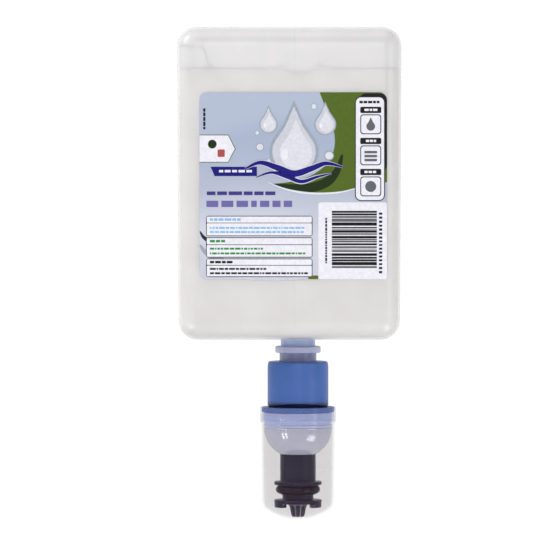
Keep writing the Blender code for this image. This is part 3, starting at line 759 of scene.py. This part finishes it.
def makeBell():
    p = pump
    hole = p["stem"] + 0.4
    inner = p["bell"] - p["bellWall"]
    profile = [(p["bell"] + 0.1, p["bellZ"] + 0.2)] + bellCurve(p["bell"], p["bellDepth"], hole, 32)
    profile += bellCurve(inner, p["bellDepth"] - p["bellWall"], hole, 24)[::-1]
    profile += [(inner, p["bellZ"] + 0.2)]
    lathe("bellShell", profile, frosted, 128, bevel=0.08, node="bell_housing", slot="frosted_plastic")
    # the stepped band above, tinted by the blue spigot inside it
    outer = p["bell"]
    band = [(outer, p["flangeFoot"] - 0.3), (outer, -41.6)]
    for r, z in ((0.15, -41.8), (0.15, -42.7), (-0.3, -42.9), (-0.3, -44.4), (0.1, -44.6), (0.1, -45.2),
                 (-0.25, -45.4), (-0.25, -45.9), (0.1, -46.1)):
        band.append((outer + r, z))
    band += [(outer + 0.1, p["bellZ"] + 0.2), (inner, p["bellZ"] + 0.2), (inner, p["flangeFoot"] - 0.3)]
    lathe("bellBand", band, bandTint, 128, bevel=0.08, node="bell_housing", slot="frosted_plastic")


def makeStem():
    p = pump
    s, f = p["stem"], p["stemFlange"]
    profile = [(11.4, -55.9), (11.4, -57.4), (s, -57.4), (s, -75.1), (f, -75.1), (f, -76.9), (8.3, -76.9),
               (8.3, -84.9), (f, -84.9), (f, p["stemFoot"]), (5.35, p["stemFoot"]), (5.35, -84.2),
               (2.9, -84.2), (2.9, -78.0), (1.5, -76.6), (1.5, -70.4), (3.5, -70.4), (3.5, -56.6),
               (5.0, -56.6), (5.0, -72.0),
               (7.9, -72.0), (7.9, -55.9)]
    lathe("stemBody", profile, charcoal, 128, bevel=0.25, body="stem", node="actuator_stem",
          slot="charcoal_plastic")
    # four feet under the lower flange, in two pairs
    form = bmesh.new()
    foot = [(9.1, p["stemFoot"] + 0.4), (9.1, p["stemFeet"]), (f, p["stemFeet"]), (f, p["stemFoot"] + 0.4)]
    for start in p["feetStarts"]:
        spinInto(form, foot, 12, start, p["footSweep"])
    finishPiece("stemFeet", form, charcoal, bevel=0.2, body="stem", node="actuator_stem",
                slot="charcoal_plastic")
    ring = [(8.6, -77.2), (10.2, -77.2)] + arcPoints(9.7, -79.4, 2.2, 60, -60, 14)
    ring += [(9.4, -82.0), (8.6, -82.0)]
    lathe("gripRing", ring, glossBlack, 96, bevel=0.2, body="stem", node="grip_ring", slot="gloss_rubber")


def makeNozzle():
    p = pump
    core = [(5.0, -84.5), (5.0, -87.7), (4.2, -88.6), (3.5, -90.0), (3.2, -92.4), (2.7, -93.9),
            (2.2, -93.9), (2.0, -90.6), (1.2, -90.0), (1.2, -84.5)]
    lathe("nozzleCore", core, nozzleCoreHighlight, 64, bevel=0.12, body="stem", node="outlet_nozzle",
          slot="charcoal_plastic")
    form = bmesh.new()
    rib = [(4.6, -87.5), (5.0, -87.9), (4.3, -89.1), (3.9, -91.2), (3.7, -92.6), (3.0, p["nozzleTip"]),
           (2.5, p["nozzleTip"]), (3.0, -92.4), (3.3, -90.0)]
    for i in range(p["ribs"]):
        spinInto(form, rib, 8, 360 / p["ribs"] * i - p["ribSweep"] / 2, p["ribSweep"])
    finishPiece("nozzleRibs", form, charcoal, bevel=0.12, body="stem", node="outlet_nozzle",
                slot="charcoal_plastic")


springs = {
    "returnCoil": {"node": "return_spring", "joint": "stem_stroke", "body": "bottle",
                   "radius": 9.6, "wire": 1.2, "top": -38.1, "foot": -55.6, "fixed": -38.1,
                   "turns": 5, "travel": 8.0},
    "outletCoil": {"node": "outlet_spring", "joint": "outlet_valve_open", "body": "stem",
                   "radius": 1.6, "wire": 0.4, "top": -80.63, "foot": -84.2, "fixed": -84.2,
                   "turns": 3, "travel": 1.2},
}


def makeSpring(name, c):
    # a coil of wire, wound from its top down to its foot
    half = c["wire"] / 2
    high, low, rings = c["top"] - half - pumpDrop, c["foot"] + half - pumpDrop, 40 * c["turns"]
    points = []
    for i in range(rings + 1):
        a = 2 * math.pi * i / 40
        points.append((c["radius"] * math.cos(a), c["radius"] * math.sin(a),
                       high + (low - high) * i / rings))
    coil = wire(name, points, half, steel, body=c["body"], node=c["node"], slot="spring_steel")
    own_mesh(coil)


overcap = {
    "rim": 20.45, "rimTop": -35.3, "rimFoot": -43.1, "bodyTop": 19.75, "bodyFoot": 19.2,
    "shoulder": -86.0, "foot": -95.6, "domeDepth": 6.4, "wall": 1.05,
}


def makeOvercap():
    rimR, topZ, rimFoot = overcap["rim"], overcap["rimTop"], overcap["rimFoot"]
    bodyTop, bodyFoot, shoulder = overcap["bodyTop"], overcap["bodyFoot"], overcap["shoulder"]
    foot, wall, depth = overcap["foot"], overcap["wall"], overcap["domeDepth"]
    edgeR = bodyFoot - 1.0
    domeR = (edgeR ** 2 + depth ** 2) / (2 * depth)
    half = math.degrees(math.asin(edgeR / domeR))
    dome = arcPoints(0, foot + domeR, domeR, -90 + half, -90, 20)
    start = dome[0]
    corner = smoothPath([(bodyFoot + 0.03, -83.5, 0), (bodyFoot, shoulder, 0), (bodyFoot - 0.25, -87.3, 0),
                         (start[0], start[1], 0)], 5)
    rim = [(rimR - 0.15, topZ), (rimR, topZ - 0.2), (rimR, rimFoot + 0.4), (rimR - 0.2, rimFoot),
           (bodyTop + 0.1, rimFoot - 0.3), (19.6, rimFoot - 0.3), (19.6, topZ)]
    lathe("overcapRim", rim, clearRim, 128, body="cap", node="overcap", slot="clear_plastic")
    outer = [(bodyTop, rimFoot - 0.35), (bodyTop, rimFoot - 0.8)]
    outer += [(q[0], q[1]) for q in corner[3:-1]] + dome
    innerR = domeR - wall
    innerHalf = math.degrees(math.asin((edgeR - wall) / innerR))
    inner = arcPoints(0, foot + domeR, innerR, -90, -90 + innerHalf, 20)
    inner += [(bodyFoot - wall - 0.2, -86.6), (bodyFoot - wall, -85.4), (bodyTop - wall, rimFoot - 0.35)]
    outer[-1] = (0.0, outer[-1][1])
    inner[0] = (0.0, inner[0][1])
    form = bmesh.new()
    for chain in (outer, inner):
        verts = [form.verts.new((r * mm, 0, (z - pumpDrop) * mm)) for r, z in chain]
        for a, b in zip(verts, verts[1:]):
            form.edges.new((a, b))
    form.verts.ensure_lookup_table()
    form.edges.new((form.verts[len(outer) + len(inner) - 1], form.verts[0]))
    bmesh.ops.spin(form, geom=form.verts[:] + form.edges[:], cent=(0, 0, 0), axis=(0, 0, 1),
                   angle=math.radians(360), steps=128, use_merge=True)
    finishPiece("overcapShell", form, clear, body="cap", node="overcap", slot="clear_plastic", angle=24)


makeCollar()
makeBase()
makeBell()
makeStem()
makeNozzle()
for name, shape in springs.items():
    makeSpring(name, shape)
makeOvercap()

finishes = {
    "neck_gasket": greyRubber, "dose_cylinder": bluePlastic, "inlet_ball_cage": natural,
    "inlet_ball": steel, "piston_rod": natural, "piston_seal": greyRubber, "outlet_ball": steel,
}
for node, material in finishes.items():
    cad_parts[node].data.materials.clear()
    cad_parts[node].data.materials.append(material)
print("pump done")


studio = {
    "roomDark": 0.24, "roomBright": 0.92, "shownWorld": 1.05,
    "floorZ": -2.6, "floorHalf": 40, "floorGlow": 0.37, "shownGlow": 0.60,
    "target": (-0.0096, 0.0, 0.0310), "distance": 3.4, "height": 0.145, "field": 0.299,
}
lampAim = (0, 0, 0.03)
# place, width, height and watts of each lamp
lamps = {
    "keyFront": ((0.0, -2.2, 0.75), 1.2, 1.0, 10.0),
    "boxRight": ((1.10, -0.75, 0.25), 0.5, 0.9, 2.6),
    "cornerLeft": ((-0.95, -0.20, 0.85), 0.40, 0.85, 7.5),
    "boxTop": ((0.0, -0.3, 1.3), 1.2, 0.6, 3.6),
    "lowRight": ((0.40, -0.31, -0.40), 0.26, 0.24, 0.85),
    "lowLeftOuter": ((-0.46, -0.32, -0.33), 0.035, 0.24, 0.45),
    "lowLeftInner": ((-0.39, -0.42, -0.33), 0.035, 0.24, 0.45),
}


def makeStudio():
    scene = bpy.context.scene
    scene.view_settings.view_transform = "Standard"
    world = bpy.data.worlds.new("studio")
    scene.world = world
    world.use_nodes = True
    tree = world.node_tree
    back = tree.nodes["Background"]
    back.inputs["Color"].default_value = (1, 1, 1, 1)
    # a dim room before the pack and a bright wall behind it
    coords = tree.nodes.new("ShaderNodeTexCoord")
    split = tree.nodes.new("ShaderNodeSeparateXYZ")
    ramp = tree.nodes.new("ShaderNodeMapRange")
    ramp.inputs["From Min"].default_value = -0.2
    ramp.inputs["From Max"].default_value = 0.75
    ramp.inputs["To Min"].default_value = studio["roomDark"]
    ramp.inputs["To Max"].default_value = studio["roomBright"]
    tree.links.new(coords.outputs["Generated"], split.inputs["Vector"])
    tree.links.new(split.outputs["Y"], ramp.inputs["Value"])
    tree.links.new(ramp.outputs["Result"], back.inputs["Strength"])
    shown = tree.nodes.new("ShaderNodeBackground")
    shown.inputs["Color"].default_value = (1, 1, 1, 1)
    shown.inputs["Strength"].default_value = studio["shownWorld"]
    rays = tree.nodes.new("ShaderNodeLightPath")
    mix = tree.nodes.new("ShaderNodeMixShader")
    tree.links.new(rays.outputs["Is Camera Ray"], mix.inputs["Fac"])
    tree.links.new(back.outputs["Background"], mix.inputs[1])
    tree.links.new(shown.outputs["Background"], mix.inputs[2])
    tree.links.new(mix.outputs["Shader"], tree.nodes["World Output"].inputs["Surface"])

    form = bmesh.new()
    bmesh.ops.create_grid(form, x_segments=1, y_segments=1, size=studio["floorHalf"])
    bmesh.ops.translate(form, vec=(0, 0, studio["floorZ"]), verts=form.verts)
    mesh = bpy.data.meshes.new("floor")
    form.to_mesh(mesh)
    form.free()
    floor = bpy.data.objects.new("floor", mesh)
    scene.collection.objects.link(floor)
    pale, shader = newMaterial("paleFloor", (0.95, 0.95, 0.95), 0.9)
    shader.inputs["Emission Color"].default_value = (1, 1, 1, 1)
    # the floor glows for the camera and stays a dimmer reflector for the pack
    rays = pale.node_tree.nodes.new("ShaderNodeLightPath")
    glow = pale.node_tree.nodes.new("ShaderNodeMapRange")
    glow.inputs["To Min"].default_value = studio["floorGlow"]
    glow.inputs["To Max"].default_value = studio["shownGlow"]
    pale.node_tree.links.new(rays.outputs["Is Camera Ray"], glow.inputs["Value"])
    pale.node_tree.links.new(glow.outputs["Result"], shader.inputs["Emission Strength"])
    mesh.materials.append(pale)

    for name, (place, wide, tall, power) in lamps.items():
        light = bpy.data.lights.new(name, "AREA")
        light.shape = "RECTANGLE"
        light.size, light.size_y, light.energy = wide, tall, power
        lamp = bpy.data.objects.new(name, light)
        scene.collection.objects.link(lamp)
        lamp.location = place
        aim = Vector(lampAim) - Vector(place)
        lamp.rotation_euler = aim.to_track_quat("-Z", "Y").to_euler()

    data = bpy.data.cameras.new("camera")
    camera = bpy.data.objects.new("camera", data)
    scene.collection.objects.link(camera)
    target = Vector(studio["target"])
    camera.location = (target.x, -studio["distance"], studio["height"])
    aim = target - camera.location
    camera.rotation_euler = aim.to_track_quat("-Z", "Y").to_euler()
    data.sensor_width = 36
    data.lens = data.sensor_width * aim.length / studio["field"]
    data.clip_end = 200
    scene.camera = camera


makeStudio()
print("studio done")
